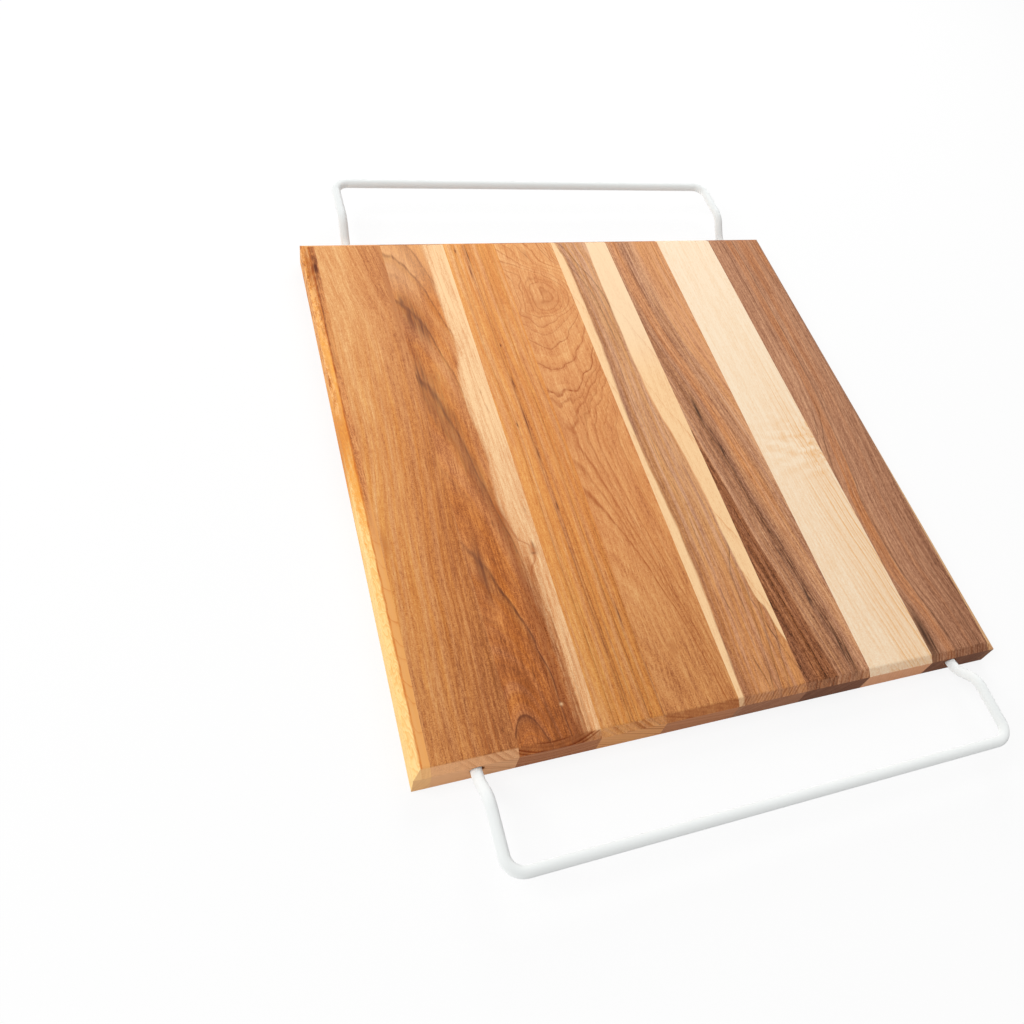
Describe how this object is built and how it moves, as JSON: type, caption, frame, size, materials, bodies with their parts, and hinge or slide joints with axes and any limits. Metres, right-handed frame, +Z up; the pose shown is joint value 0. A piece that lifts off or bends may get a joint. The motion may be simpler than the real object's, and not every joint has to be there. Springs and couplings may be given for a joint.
{
  "type": "over-sink cutting board",
  "caption": "Flat edge-glued hardwood cutting board with bevelled top edges; a white-coated bent wire arm slides out of each end to bridge a sink and rest on its rim.",
  "frame": {"origin": "on the underside of the board, below the middle of the board, which is also the middle of the whole part at rest", "axes": "+X across the staves from left to right, +Y along the staves from the front arm to the rear arm, +Z up out of the work surface"},
  "size_m": [0.381, 0.5314, 0.0282],
  "materials": {
    "edge_sapwood": "oiled",
    "cherry": "oiled",
    "walnut": "oiled",
    "maple": "oiled",
    "rod_steel": "drawn",
    "white_vinyl": "satin"
  },
  "bodies": {
    "board": {"stave_1_edge_strip": "edge_sapwood", "stave_2_cherry": "cherry", "stave_3_cherry": "cherry", "stave_4_cherry": "cherry", "stave_5_cherry": "cherry", "stave_6_walnut": "walnut", "stave_7_walnut": "walnut", "stave_8_maple": "maple", "stave_9_walnut": "walnut"},
    "front_arm": {"front_arm_rod": "rod_steel", "front_arm_coat": "white_vinyl"},
    "rear_arm": {"rear_arm_rod": "rod_steel", "rear_arm_coat": "white_vinyl"}
  },
  "joints": [
    {"name": "front_arm_slide", "type": "slide", "parent": "board", "child": "front_arm", "axis": [0, -1, 0], "range_m": [0, 0.065]},
    {"name": "rear_arm_slide", "type": "slide", "parent": "board", "child": "rear_arm", "axis": [0, 1, 0], "range_m": [0, 0.065]}
  ]
}
